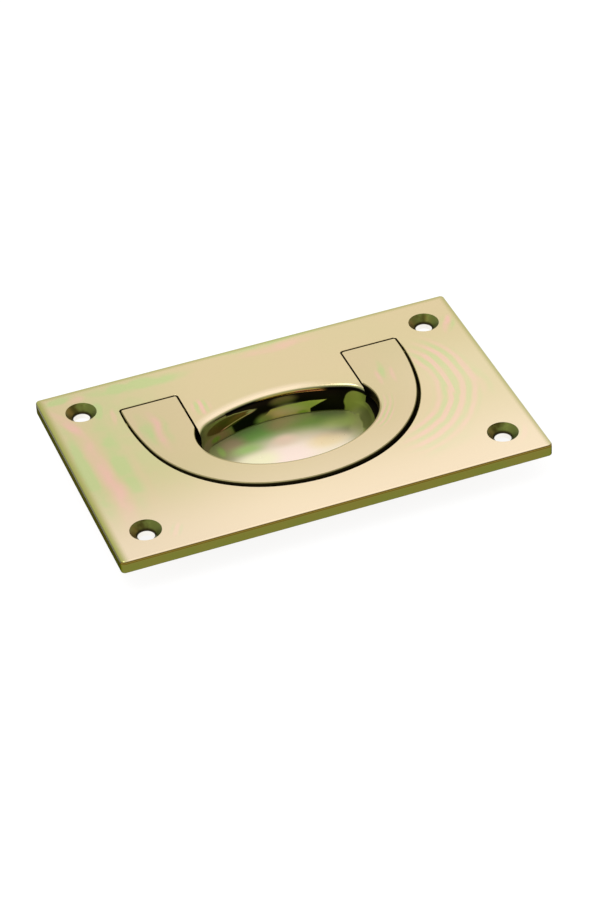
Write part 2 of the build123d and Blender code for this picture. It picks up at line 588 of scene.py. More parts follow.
@dataclass(frozen=True)
class Stroke(Patch):
    """A thin line that fades at its two ends."""

    start: Point2
    end: Point2
    half_width: float
    full_share: float = 0.6

    def cover(self, flat: Flat) -> Socket:
        """Full on the line.

        Args:
            flat: The shaded point.

        Returns:
            The cover.
        """
        middle = tuple((one + two) / 2 for one, two in zip(self.start, self.end))
        rise = (self.end[0] - self.start[0], self.end[1] - self.start[1])
        along, across = flat.across(middle, degrees(atan2(rise[1], rise[0])))
        reach = hypot(*rise) / 2
        side = abs(across).step(self.half_width + self.soft, self.half_width)
        return side * abs(along).step(reach, reach * self.full_share)


class Finish(ABC):
    """A finish that can be made into a material."""

    def material(self, name: str) -> bpy.types.Material:
        """Makes a material of the finish.

        Args:
            name: The material's name.

        Returns:
            The material.
        """
        made = bpy.data.materials.new(name)
        made.use_nodes = True
        self.dress(ShaderTree(made.node_tree))
        return made

    @abstractmethod
    def dress(self, tree: ShaderTree) -> None:
        """Builds the finish's nodes in a tree."""

    @staticmethod
    def patched(tree: ShaderTree, colour: Socket, patches: tuple[Patch, ...], flat: Flat) -> Socket:
        """Lays patches over a colour, each over the ones before it.

        Args:
            tree: The tree to build in.
            colour: The colour under them.
            patches: The patches in order.
            flat: The shaded point in the view that they are drawn in.

        Returns:
            The patched colour.
        """
        for patch in patches:
            colour = tree.mix(patch.cover(flat), colour, patch.colour)
        return colour

    @staticmethod
    def metal(
        tree: ShaderTree,
        colour: Socket,
        roughness: Socket,
        relief: Socket,
        depth: float,
        edge_tint: Colour = TONES.clean_edge,
    ) -> None:
        """Ends a tree as metal.

        Args:
            tree: The tree to end.
            colour: The metal's colour.
            roughness: The metal's roughness.
            relief: The height of the fine relief, from 0 to 1.
            depth: The relief's full height in millimetres.
            edge_tint: How much the metal keeps of the light that strikes it at a low angle.
        """
        bump = {"Strength": 1.0, "Distance": depth * MM, "Height": relief}
        shader = tree.node("ShaderNodeBsdfPrincipled", None, {
            "Base Color": colour,
            "Metallic": 1.0,
            "Roughness": roughness,
            "Specular Tint": (*edge_tint, 1.0),
            "Normal": tree.node("ShaderNodeBump", None, bump),
        })
        tree.node("ShaderNodeOutputMaterial", None, {"Surface": shader})


@dataclass(frozen=True)
class PolishedFace(Finish):
    """The polished front of a casting, with its interference colours, a painted highlight towards its
    near edge and painted shade towards its left end.
    """

    bands: tuple[Band, ...]
    half_length: float
    half_width: float
    top: float
    wander: float = 1.5
    wander_size: float = 9.0
    mottle_size: float = 4.5
    cloud_size: float = 21.0
    scuff_size: float = 0.9
    wave_size: float = 5.0
    wave_depth: float = 0.004
    roughness: float = 0.2
    gain: float = 1.0
    dim_left: float = 0.1
    dim_to_x: float = -6.0
    paleness: float = 0.45
    pale_from: Point2 = (18.0, 22.0)
    pale_margin: float = 6.0
    near_highlight_share: float = 0.8
    near_highlight_from_y: float = -3.0

    def dress(self, tree: ShaderTree) -> None:
        """Builds the face's nodes.

        Args:
            tree: The tree to build in.
        """
        place = tree.place()
        plan = place.plan()
        drift = (tree.noise(place.point, self.wander_size, 1.0) - 0.5) * (2 * self.wander)
        mottle = tree.noise(place.point, self.mottle_size, 2.0).step(0.3, 0.62)
        lean: Socket | float = 0.0
        for band in self.bands:
            lean = band.tint(plan, drift) + lean
        clouds = tree.noise(place.point, self.cloud_size, 1.0) - 0.5
        lean = lean * (0.55 + mottle * 0.75) + clouds * 0.4
        stops = [(0.0, TONES.green), (0.5, TONES.plain), (1.0, TONES.pink)]
        colour = tree.ramp(lean * 0.5 + 0.5, stops)
        right = place.x.step(self.pale_from[0], self.half_length - self.pale_margin)
        right = right * place.y.step(self.pale_from[1], 0.0)
        colour = tree.mix(right * self.paleness, colour, TONES.pale)
        # Painted highlight: the face grows creamy towards its near edge.
        near = place.y.step(self.near_highlight_from_y, -self.half_width)
        colour = tree.mix(near * self.near_highlight_share, colour, TONES.highlight_cream)
        # Painted shade: the face dims towards its left end.
        lit = place.x.step(-self.half_length, self.dim_to_x) * self.dim_left
        gain = (1.0 - self.dim_left + lit) * self.gain
        colour = self.edged(tree, place, tree.scaled(colour, gain))
        roughness = self.roughness + (tree.noise(place.point, self.scuff_size, 3.0) - 0.5) * 0.06
        waves = tree.noise(place.point, self.wave_size, 1.0)
        self.metal(tree, colour, roughness, waves, self.wave_depth)

    def edged(self, tree: ShaderTree, place: Place, colour: Socket) -> Socket:
        """Shades the casting's edges. Here they stay as the face is."""
        return colour


@dataclass(frozen=True)
class PolishedPlate(PolishedFace):
    """The plate's polished front, with painted shade towards its edges, which polishing rounded, and
    painted highlight and shade beside the well's lip.
    """

    left_shade_reach: float = 2.4
    edge_shade_reach: float = 1.8
    edge_radius: float = 0.55
    edge_blend: float = 0.1
    lip_centre: Point2 = (0.0, 8.0)
    lip_half_size: Point2 = (21.0, 8.0)
    lip_highlight_reach: Point2 = (2.8, 1.0)
    lip_highlight_middle_x: float = -5.0
    lip_highlight_half_x: Point2 = (20.0, 10.0)
    lip_shade_reach: Point2 = (1.3, 0.2)
    lip_shade_left: Point2 = (2.0, 14.0)
    lip_shade_right: Point2 = (20.3, 19.8)
    lip_shade_near: Point2 = (3.0, 4.5)
    lip_shade_tone: Colour = (0.42, 0.38, 0.23)
    near_edge_shade: Colour = (0.26, 0.18, 0.03)

    def edged(self, tree: ShaderTree, place: Place, colour: Socket) -> Socket:
        """Paints highlight and shade beside the lip over the well, and shade on the borders and the
        rounded edges.

        Args:
            tree: The tree to build in.
            place: The shaded point.
            colour: The face's colour.

        Returns:
            The colour with its edges.
        """
        length, width = self.half_length, self.half_width
        plan = place.plan()
        past_well = plan.distance(WELL_ARC_CENTRE) - WELL_ARC_RADIUS
        # Painted highlight: a creamy band on the face just beyond the well's lip, fading towards either
        # end.
        rolled = past_well.step(*self.lip_highlight_reach)
        rolled = rolled * abs(place.x - self.lip_highlight_middle_x).step(*self.lip_highlight_half_x)
        rolled = rolled * plan.oval(self.lip_centre, self.lip_half_size).step(1.1, 0.9)
        colour = tree.mix(rolled * 0.7, colour, TONES.highlight_cream)
        # Painted shade: the face right at the lip is dimmed towards the lip's right end.
        turned = past_well.step(*self.lip_shade_reach) * place.y.step(*self.lip_shade_near)
        turned = turned * place.x.step(*self.lip_shade_left) * place.x.step(*self.lip_shade_right)
        colour = tree.mix(turned * 0.7, colour, self.lip_shade_tone)
        # Painted shade: the face fades to a greenish tone towards its left, right and far edges.
        left = place.x.step(self.left_shade_reach - length, -length)
        right = place.x.step(length - self.edge_shade_reach, length) * 0.75
        far = place.y.step(width - self.edge_shade_reach, width) * 0.85
        colour = tree.mix(left.larger(right).larger(far), colour, TONES.painted_edge_shade)
        # Painted shade: a dark line on the rounded left, right and far edges, just under the face.
        inset, blended = self.edge_radius, self.edge_radius + self.edge_blend
        outer = abs(place.x).step(length - blended, length - inset)
        outer = outer.larger(place.y.step(width - blended, width - inset))
        drop = place.under(self.top, 0.04, 0.6 * self.edge_radius)
        colour = tree.mix(drop * outer, colour, TONES.line)
        # Painted shade: a dark golden-brown line on the near rounded edge, just under the face.
        near = place.y.step(blended - width, inset - width)
        low = place.under(self.top, 0.1, 0.4 * self.edge_radius)
        return tree.mix(low * near, colour, self.near_edge_shade)


@dataclass(frozen=True)
class PolishedHandle(PolishedFace):
    """The handle's polished front, with a thin line of painted shade along the near edge of its
    opening.
    """

    gain: float = 0.94
    near_highlight_share: float = 0.66
    opening_centre: Point2 = (0.0, 1.7)
    opening_half_size: Point2 = (21.95, 15.55)
    line_reach: Point2 = (1.022, 1.008)
    line_y: Point2 = (0.0, -4.0)
    opening_shade_tone: Colour = (0.3, 0.26, 0.1)

    def edged(self, tree: ShaderTree, place: Place, colour: Socket) -> Socket:
        """Draws the line of painted shade.

        Args:
            tree: The tree to build in.
            place: The shaded point.
            colour: The face's colour.

        Returns:
            The colour with the line.
        """
        out = place.plan().oval(self.opening_centre, self.opening_half_size)
        # Painted shade: a thin dark line along the near edge of the opening.
        line = out.step(*self.line_reach) * place.y.step(*self.line_y)
        return tree.mix(line * 0.7, colour, self.opening_shade_tone)


@dataclass(frozen=True)
class FiledSide(Finish):
    """The filed short and long edges of the plate: their dull tone is partly painted shade, with
    painted dark brown along the top, and greener below.
    """

    top: float
    blotched: Colour = (0.2, 0.185, 0.035)
    upper: Colour = (0.22, 0.19, 0.04)
    upper_depth: Point2 = (1.4, 0.7)
    brown: Colour = (0.11, 0.07, 0.006)
    brown_depth: Point2 = (0.85, 0.6)
    blotch_size: float = 8.0
    stroke_size: float = 1.6
    stroke_stretch: Point3 = (0.25, 0.25, 3.0)
    stroke_depth: float = 0.005

    def dress(self, tree: ShaderTree) -> None:
        """Builds the filed metal's nodes.

        Args:
            tree: The tree to build in.
        """
        place = tree.place()
        strokes = tree.noise(place.point, self.stroke_size, 3.0, self.stroke_stretch)
        blotch = tree.noise(place.point, self.blotch_size, 2.0)
        # The base tone is partly the filed metal's own colour and partly painted shade.
        colour = tree.mix(blotch.step(0.35, 0.65), TONES.olive_and_painted_shade, self.blotched)
        colour = tree.mix(place.under(self.top, *self.upper_depth) * 0.6, colour, self.upper)
        # Painted shade: dark brown along the top of the side, just under the rounded edge.
        colour = tree.mix(place.under(self.top, *self.brown_depth), colour, self.brown)
        roughness = 0.3 + (strokes - 0.5) * 0.16
        self.metal(tree, colour, roughness, strokes, self.stroke_depth, TONES.dark_edge)


@dataclass(frozen=True)
class TurnedSink(Finish):
    """The turned countersinks, with fine tool rings and painted shade at their foot, over bright bores.
    """

    centre: Point2
    bore_top: float
    left_tone: Colour = linear(104, 112, 54)
    right_tone: Colour = linear(126, 106, 50)
    streak_tone: Colour = linear(62, 60, 22)
    bore_tone: Colour = (0.97, 0.95, 0.9)
    blotch_size: float = 2.4
    ring_pitch: float = 0.22
    ring_depth: float = 0.004
    middle_radius: float = 0.1
    foot_height: Point2 = (0.5, 0.05)
    bore_depth: Point2 = (0.2, 0.4)

    def dress(self, tree: ShaderTree) -> None:
        """Builds the turned metal's nodes.

        Args:
            tree: The tree to build in.
        """
        place = tree.place()
        right = place.x - place.x.sign() * self.centre[0]
        up = place.y - place.y.sign() * self.centre[1]
        radius = (right * right + up * up).root().larger(self.middle_radius)
        blotch = tree.noise(place.point, self.blotch_size, 2.0)
        lean = (right / radius) * -0.6 + (blotch - 0.5) * 2.4
        colour = tree.mix(lean.step(-0.5, 0.9), self.left_tone, self.right_tone)
        streak = (up / radius).step(0.72, 0.96) * blotch.step(0.35, 0.6)
        colour = tree.mix(streak * 0.8, colour, self.streak_tone)
        # Painted shade: a dark ring at the foot of the countersink, where it meets the bore.
        above = place.z - self.bore_top
        colour = tree.mix(above.step(*self.foot_height), colour, TONES.shade)
        bore = place.under(self.bore_top, *self.bore_depth)
        colour = tree.mix(bore, colour, self.bore_tone)
        rings = (place.z * (2 * pi / self.ring_pitch)).sine() * 0.5 + 0.5
        roughness = 0.36 + blotch * 0.1 - bore * 0.28
        self.metal(tree, colour, roughness, rings * (1.0 - bore), self.ring_depth)


@dataclass(frozen=True)
class CastPocket(Finish):
    """The unpolished walls and floor of the pocket, with painted shade beside the ends of the well."""

    top: float
    light: Colour = (0.1, 0.082, 0.03)
    dark: Colour = (0.045, 0.036, 0.014)
    painted_shade: Colour = (0.008, 0.007, 0.004)
    worn: Colour = (0.42, 0.37, 0.17)
    worn_depth: Point2 = (0.2, 0.1)
    painted_shade_centre: Point2 = (21.4, 1.5)
    painted_shade_half_size: Point2 = (3.4, 9.0)
    blotch_size: float = 6.0
    grain_size: float = 0.5
    grain_depth: float = 0.02

    def dress(self, tree: ShaderTree) -> None:
        """Builds the pocket's nodes.

        Args:
            tree: The tree to build in.
        """
        place = tree.place()
        grain = tree.noise(place.point, self.grain_size, 3.0)
        blotch = tree.noise(place.point, self.blotch_size, 2.0)
        colour = tree.mix(blotch.step(0.35, 0.7), self.dark, self.light)
        colour = tree.mix(grain.step(0.55, 0.75) * 0.5, colour, self.dark)
        # Painted shade: near-black beside the ends of the well.
        beside_well = Flat(abs(place.x), place.y).oval(self.painted_shade_centre, self.painted_shade_half_size)
        colour = tree.mix(beside_well.step(1.3, 0.8), colour, self.painted_shade)
        colour = tree.mix(place.under(self.top, *self.worn_depth), colour, self.worn)
        self.metal(tree, colour, 0.5 + grain * 0.2, grain, self.grain_depth, TONES.dull_edge)


@dataclass(frozen=True)
class FiledRim(Finish):
    """The handle's filed sides: painted shade darkens their upper part, and the edge is worn."""

    top: float
    light: Colour = (0.2, 0.165, 0.06)
    dark: Colour = (0.045, 0.038, 0.013)
    worn: Colour = (0.3, 0.26, 0.12)
    painted_shade_depth: Point2 = (2.4, 1.4)
    worn_depth: Point2 = (0.28, 0.1)
    stroke_size: float = 0.9
    stroke_stretch: Point3 = (0.4, 0.4, 2.5)
    stroke_depth: float = 0.01

    def dress(self, tree: ShaderTree) -> None:
        """Builds the filed metal's nodes.

        Args:
            tree: The tree to build in.
        """
        place = tree.place()
        strokes = tree.noise(place.point, self.stroke_size, 3.0, self.stroke_stretch)
        # Painted shade: the sides darken over their upper part.
        painted_shade = place.under(self.top, *self.painted_shade_depth)
        colour = tree.mix(painted_shade * 0.85, self.light, self.dark)
        colour = tree.mix(strokes.step(0.5, 0.75) * 0.5, colour, self.dark)
        colour = tree.mix(place.under(self.top, *self.worn_depth), colour, self.worn)
        self.metal(tree, colour, 0.34 + strokes * 0.2, strokes, self.stroke_depth, TONES.dull_edge)


# Painted reflections for the well's polished far wall. The darkest also serves as painted shadow on the
# wall.
PAINTED_DARK_REFLECTION_AND_SHADOW: Colour = (0.006, 0.0055, 0.004)
PAINTED_OLIVE_REFLECTION: Colour = (0.25, 0.25, 0.1)
PAINTED_BROWN_REFLECTION: Colour = (0.12, 0.088, 0.02)
PAINTED_STRAW_REFLECTION: Colour = (0.8, 0.72, 0.34)
PAINTED_END_REFLECTION: Colour = (0.37, 0.41, 0.13)

# Painted reflections on the far wall, drawn in its upright view, each over the ones before it.
PAINTED_WALL_REFLECTIONS: tuple[Patch, ...] = (
    SidedPatch(
        PAINTED_OLIVE_REFLECTION, 0.3, ((-12.3, 3.4), (-30.0, 3.4), (-30.0, -6.0), (-9.5, -6.0), (-10.0, -4.2))
    ),
    SidedPatch((0.38, 0.31, 0.2), 0.6, ((-30.0, -1.8), (-30.0, -6.0), (-9.5, -6.0), (-11.0, -1.8))),
    OvalPatch((0.24, 0.42, 0.08), 0.6, (-15.2, -3.0), (1.1, 0.8)),
    SidedPatch(PAINTED_BROWN_REFLECTION, 0.16, ((-12.0, 1.75), (-12.8, -1.5), (-4.3, 0.05), (-4.5, 0.42))),
    OvalPatch(PAINTED_BROWN_REFLECTION, 0.08, (-12.6, -0.15), (5.1, 1.6)),
    OvalPatch((0.26, 0.12, 0.045), 0.6, (-9.0, -0.1), (2.8, 0.8), 6.0),
    OvalPatch((0.6, 0.52, 0.36), 0.5, (-5.5, 0.22), (1.2, 0.3), 4.0),
    Stroke((1.0, 0.5, 0.5), 0.1, (-14.2, -1.62), (-4.2, 0.04), 0.09),
    Stroke((0.36, 0.35, 0.17), 0.1, (-13.0, 1.8), (-4.2, 0.42), 0.07),
    OvalPatch((0.17, 0.155, 0.06), 0.5, (2.5, 0.65), (2.8, 1.15)),
    SidedPatch(PAINTED_STRAW_REFLECTION, 0.12, ((-4.2, -4.6), (8.7, -4.6), (8.7, -0.8), (-0.6, -1.15))),
    SidedPatch(PAINTED_STRAW_REFLECTION, 0.1, ((8.3, -3.2), (12.5, -0.75), (8.3, -0.8))),
    OvalPatch((0.42, 0.5, 0.22), 0.6, (-2.0, -3.4), (2.2, 1.4)),
    OvalPatch((1.0, 0.82, 0.72), 0.75, (3.4, -2.4), (3.4, 1.3)),
    OvalPatch((0.46, 0.62, 0.14), 0.6, (7.0, -4.0), (1.3, 0.8)),
    OvalPatch(PAINTED_END_REFLECTION, 0.06, (19.2, -1.4), (3.0, 3.3)),
    OvalPatch((0.6, 0.66, 0.24), 0.7, (20.4, -3.8), (2.4, 2.2)),
    SidedPatch(PAINTED_END_REFLECTION, 0.25, ((16.2, -6.0), (30.0, -6.0), (30.0, -1.6), (16.6, -1.6))),
)

# Painted reflections: a gold and an orange stripe along the lower part of the rolled lip.
PAINTED_LIP_REFLECTIONS: tuple[Patch, ...] = (
    Stroke((0.8, 0.64, 0.14), 0.2, (-5.0, 2.6), (13.0, 2.16), 0.26),
    Stroke((1.0, 0.46, 0.26), 0.12, (4.6, 2.3), (12.4, 2.02), 0.16),
)

# Painted reflections and highlights on the well's floor, drawn from the front: greener towards the far
# wall, pale pink and creamy towards the handle.
PAINTED_FLOOR_REFLECTIONS: tuple[Patch, ...] = (
    OvalPatch((0.28, 0.5, 0.13), 0.7, (-6.0, 7.4), (5.2, 3.8)),
    OvalPatch((0.44, 0.4, 0.18), 0.7, (0.8, 9.2), (3.4, 2.2)),
    OvalPatch((0.5, 0.42, 0.24), 0.7, (-12.0, 6.4), (2.8, 2.6)),
    OvalPatch((0.42, 0.56, 0.17), 0.6, (-15.2, 5.0), (0.8, 1.8)),
    OvalPatch((0.3, 0.44, 0.12), 0.7, (8.4, 6.2), (6.4, 3.4)),
    OvalPatch((0.5, 0.6, 0.19), 0.7, (13.0, 4.2), (3.4, 2.8)),
    OvalPatch((0.95, 0.83, 0.64), 0.35, (0.0, -4.0), (15.0, 9.0)),
    OvalPatch((0.52, 0.72, 0.27), 0.8, (-9.6, 3.2), (3.2, 1.8)),
    OvalPatch((1.0, 0.82, 0.72), 0.6, (-1.0, -2.6), (5.5, 4.0)),
    OvalPatch((0.95, 0.76, 0.6), 0.7, (-0.5, 3.2), (2.6, 1.8)),
    OvalPatch((0.95, 0.9, 0.6), 0.6, (-8.5, -1.4), (4.4, 3.0)),
    OvalPatch((0.93, 0.76, 0.47), 0.6, (9.0, -0.6), (4.4, 2.4)),
)


@dataclass(frozen=True)
class PolishedWell(Finish):
    """The finger well: a far wall painted dark with brighter painted reflections, over a softly
    polished floor with painted reflections and highlights.
    """

    top: float
    floor: float
    # The wall's and the lip's colours are painted reflections.
    wall: tuple[Colour, Colour] = (PAINTED_DARK_REFLECTION_AND_SHADOW, (0.012, 0.01, 0.006))
    lip: tuple[Colour, Colour] = ((0.6, 0.57, 0.26), (0.34, 0.34, 0.17))
    bottom: tuple[Colour, Colour] = ((0.36, 0.4, 0.16), (0.42, 0.4, 0.2))
    foot_height: Point2 = (0.35, 0.03)
    end_x: Point2 = (13.5, 17.0)
    far_y: Point2 = (0.0, 5.0)
    shadow_z: Point2 = (1.5, 1.9)
    shadow_edge: tuple[Point2, Point2] = ((-10.0, -4.2), (-12.3, 2.8))
    shadow_soft: float = 0.3
    lip_depth: Point2 = (0.75, 0.45)
    lip_x: Point2 = (0.0, 9.0)
    brow_depth: Point2 = (0.45, 0.3)
    brow_x: Point2 = (8.0, 16.0)
    crease: Point2 = (0.3, 0.1)
    drift: float = 0.5
    drift_size: float = 3.0
    wall_blotch_size: float = 6.0
    floor_blotch_size: float = 5.0
    scuff_size: float = 0.8
    wave_size: float = 4.0
    wave_depth: float = 0.004

    def dress(self, tree: ShaderTree) -> None:
        """Builds the well's nodes.

        Args:
            tree: The tree to build in.
        """
        place = tree.place()
        low = (place.z - self.floor).step(*self.foot_height)
        colour = tree.mix(low, self._wall(tree, place), self._floor(tree, place))
        ends = abs(place.x).step(*self.end_x)
        far = low * place.y.step(*self.far_y)
        scuffs = tree.noise(place.point, self.scuff_size, 2.0)
        roughness = 0.1 + low * 0.16 + (ends * 0.3).larger(far * 0.34) + scuffs * 0.05
        waves = tree.noise(place.point, self.wave_size, 1.0)
        self.metal(tree, colour, roughness, waves, self.wave_depth)

    def _wall(self, tree: ShaderTree, place: Place) -> Socket:
        """Colours the far wall and the lip rolled over it, with painted reflections, a painted shadow
        and painted highlight and shade on the lip.

        Args:
            tree: The tree to build in.
            place: The shaded point.

        Returns:
            The wall's colour.
        """
        drift = (tree.noise(place.point, self.drift_size, 1.0) - 0.5) * self.drift
        drifted = Flat(place.x + drift, place.z + drift * 0.5)
        wall = tree.mix(tree.noise(place.point, self.wall_blotch_size, 1.0), *self.wall)
        wall = self.patched(tree, wall, PAINTED_WALL_REFLECTIONS, drifted)
        # Painted shadow: the upper part of the wall goes dark to the right of a slanted line near its
        # left end.
        right = drifted.left_of(*self.shadow_edge).step(self.shadow_soft, -self.shadow_soft)
        wall = tree.mix(place.z.step(*self.shadow_z) * right, wall, PAINTED_DARK_REFLECTION_AND_SHADOW)
        wall = self.patched(tree, wall, PAINTED_LIP_REFLECTIONS, place.upright())
        # Painted reflection: a band on the lip, gold at left and dull green at right.
        lip = tree.mix(place.x.step(*self.lip_x), *self.lip)
        wall = tree.mix(place.under(self.top, *self.lip_depth), wall, lip)
        # Painted highlight and shade: the lip's upper band keeps the face's plain tone at left and
        # darkens towards the right.
        brow = tree.mix(place.x.step(*self.brow_x), TONES.plain, TONES.painted_edge_shade)
        return tree.mix(place.under(self.top, *self.brow_depth), wall, brow)

    def _floor(self, tree: ShaderTree, place: Place) -> Socket:
        """Colours the floor with painted reflections and highlights, and paints shade in a thin crease
        along the foot of the wall.

        Args:
            tree: The tree to build in.
            place: The shaded point.

        Returns:
            The floor's colour.
        """
        floor = tree.mix(tree.noise(place.point, self.floor_blotch_size, 1.0), *self.bottom)
        plan = place.plan()
        floor = self.patched(tree, floor, PAINTED_FLOOR_REFLECTIONS, plan)
        short_of_wall = WELL_ARC_RADIUS - plan.distance(WELL_ARC_CENTRE)
        # Painted shade: a thin dark crease along the foot of the wall.
        return tree.mix(short_of_wall.step(*self.crease) * 0.4, floor, TONES.shade)


@dataclass(frozen=True)
class CastSkin(Finish):
    """The plain back of a casting, as it left the sand: dull, brown and a little grainy."""

    light: Colour = (0.33, 0.235, 0.085)
    dark: Colour = (0.15, 0.1, 0.04)
    blotch_size: float = 9.0
    grain_size: float = 0.45
    grain_depth: float = 0.05

    def dress(self, tree: ShaderTree) -> None:
        """Builds the cast skin's nodes.

        Args:
            tree: The tree to build in.
        """
        place = tree.place()
        grain = tree.noise(place.point, self.grain_size, 3.0)
        blotch = tree.noise(place.point, self.blotch_size, 3.0)
        colour = tree.mix(blotch.step(0.3, 0.7), self.light, self.dark)
        colour = tree.mix(grain.step(0.55, 0.8) * 0.4, colour, self.dark)
        roughness = 0.48 + (grain - 0.5) * 0.3 + (blotch - 0.5) * 0.2
        self.metal(tree, colour, roughness, grain, self.grain_depth)


@dataclass(frozen=True)
class DrawnBar(Finish):
    """Bright drawn brass bar, filed flush at its outer end together with the plate's side."""

    plate_end: float
    dark: Colour = (0.24, 0.22, 0.06)
    light: Colour = (0.34, 0.3, 0.09)
    filed_end: Point2 = (0.3, 0.1)
    line_size: float = 0.5
    line_stretch: Point3 = (0.05, 1.0, 6.0)
    line_depth: float = 0.006

    def dress(self, tree: ShaderTree) -> None:
        """Builds the bar's nodes.

        Args:
            tree: The tree to build in.
        """
        place = tree.place()
        lines = tree.noise(place.point, self.line_size, 3.0, self.line_stretch)
        colour = tree.mix(lines.step(0.3, 0.7), self.dark, self.light)
        short_of_end = self.plate_end - abs(place.x)
        # The filed end takes the plate sides' tone, partly painted shade.
        colour = tree.mix(short_of_end.step(*self.filed_end), colour, TONES.olive_and_painted_shade)
        roughness = 0.26 + lines * 0.15
        self.metal(tree, colour, roughness, lines, self.line_depth, TONES.dark_edge)


# ----------------------------------------------------------------------------------------------
# Skins
# ----------------------------------------------------------------------------------------------


@dataclass
class Facets:
    """The triangles of a welded skin as arrays, and what can be told from them."""

    mesh: bpy.types.Mesh
    sliver_height: float = 0.002 * MM
    flat_angle: float = 0.3
    flat_area: float = 20.0 * MM * MM
    reach_lift: float = 0.02 * MM
    tiny: float = 1e-30
    corners: np.ndarray = field(init=False)
    places: np.ndarray = field(init=False)
    centres: np.ndarray = field(init=False)
    normals: np.ndarray = field(init=False)
    areas: np.ndarray = field(init=False)

    def __post_init__(self) -> None:
        """Reads the mesh, and measures each facet."""
        count = len(self.mesh.vertices)
        flat = np.empty(count * 3)
        self.mesh.vertices.foreach_get("co", flat)
        self.places = flat.reshape(count, 3)
        index = np.empty(len(self.mesh.loops), dtype=np.int64)
        self.mesh.loops.foreach_get("vertex_index", index)
        self.corners = index.reshape(-1, 3)
        self.centres = self.places[self.corners].mean(axis=1)
        a, b, c = (self.places[self.corners[:, i]] for i in range(3))
        cross = np.cross(b - a, c - a)
        self.areas = np.linalg.norm(cross, axis=1) / 2
        self.normals = cross / np.maximum(2 * self.areas, self.tiny)[:, None]
        self._settle_slivers(a, b, c)

    def _settle_slivers(self, a: np.ndarray, b: np.ndarray, c: np.ndarray) -> None:
        """Gives each facet too thin to have a normal that of the one along its longest edge.

        Args:
            a: Each facet's first corner.
            b: Its second.
            c: Its third.
        """
        sides = np.stack([np.linalg.norm(q - p, axis=1) for p, q in ((a, b), (b, c), (c, a))], axis=1)
        thin = 2 * self.areas / np.maximum(sides.max(axis=1), self.tiny) < self.sliver_height
        by_edge = self.by_edge()
        for facet in sorted(np.nonzero(thin)[0], key=lambda f: -self.areas[f]):
            side = int(sides[facet].argmax())
            pair = frozenset((self.corners[facet, side], self.corners[facet, (side + 1) % 3]))
            others = [f for f in by_edge[pair] if f != facet]
            if others:
                self.normals[facet] = self.normals[others[0]]

    def by_edge(self) -> dict[frozenset[int], list[int]]:
        """Finds the facets on each edge.

        Returns:
            The facets by their edge's two vertices.
        """
        found: dict[frozenset[int], list[int]] = {}
        for facet, corner in enumerate(self.corners):
            for i in range(3):
                found.setdefault(frozenset((corner[i], corner[(i + 1) % 3])), []).append(facet)
        return found

    def flats(self) -> np.ndarray:
        """Groups facets that lie in one plane.

        Returns:
            For each facet the area of its group where that is a true flat, and otherwise 0.
        """
        group = list(range(len(self.corners)))

        def root(facet: int) -> int:
            """Finds the facet that stands for a group.

            Args:
                facet: Any facet of the group.

            Returns:
                The one that stands for it.
            """
            while group[facet] != facet:
                group[facet] = group[group[facet]]
                facet = group[facet]
            return facet

        same = cos(radians(self.flat_angle))
        for facets in self.by_edge().values():
            if len(facets) == 2 and self.normals[facets[0]] @ self.normals[facets[1]] > same:
                group[root(facets[0])] = root(facets[1])
        roots = np.array([root(facet) for facet in range(len(group))])
        total = np.bincount(roots, weights=self.areas, minlength=len(group))[roots]
        return np.where(total > self.flat_area, total, 0.0)

    def corner_normals(self, limit: np.ndarray) -> np.ndarray:
        """Works out a normal for every corner of every facet.

        A flat keeps its own normal. Elsewhere a corner takes the normal of the largest flat that
        runs smoothly up to it, and otherwise the average over the smooth surface round it.

        Args:
            limit: For each vertex, the cosine of the sharpest angle that still counts as smooth.

        Returns:
            One normal for each corner, in the mesh's order.
        """
        flats = self.flats()
        round_vertex: list[list[int]] = [[] for _ in self.places]
        for facet, corner in enumerate(self.corners):
            for vertex in corner:
                round_vertex[vertex].append(facet)
        turned = np.repeat(self.normals[:, None], 3, axis=1)
        for facet, corner in enumerate(self.corners):
            if flats[facet]:
                continue
            for i, vertex in enumerate(corner):
                near = np.array(round_vertex[vertex])
                near = near[self.normals[near] @ self.normals[facet] > limit[vertex]]
                if len(near) == 0:
                    continue
                if flats[near].any():
                    turned[facet, i] = self.normals[near[flats[near].argmax()]]
                else:
                    total = (self.normals[near] * self._angles(near, vertex)[:, None]).sum(axis=0)
                    turned[facet, i] = total / np.linalg.norm(total)
        return turned.reshape(-1, 3)

    def _angles(self, facets: np.ndarray, vertex: int) -> np.ndarray:
        """Measures the angle that facets have at a vertex they share.

        Args:
            facets: The facets.
            vertex: The vertex.

        Returns:
            An angle in radians for each.
        """
        corners = self.corners[facets]
        at = (corners == vertex).argmax(axis=1)
        rows = np.arange(len(facets))
        tip = self.places[vertex]
        one = self.places[corners[rows, (at + 1) % 3]] - tip
        two = self.places[corners[rows, (at + 2) % 3]] - tip
        size = np.linalg.norm(one, axis=1) * np.linalg.norm(two, axis=1)
        return np.arccos(np.clip((one * two).sum(axis=1) / np.maximum(size, self.tiny), -1, 1))

    def open_to_front(self) -> np.ndarray:
        """Looks out from each facet to the front.

        Returns:
            For each facet whether nothing of the skin lies in front of it.
        """
        tree = BVHTree.FromPolygons(self.places.tolist(), self.corners.tolist())
        starts = self.centres + self.normals * self.reach_lift
        up = Vector((0, 0, 1))
        return np.array([tree.ray_cast(Vector(start), up)[0] is None for start in starts])


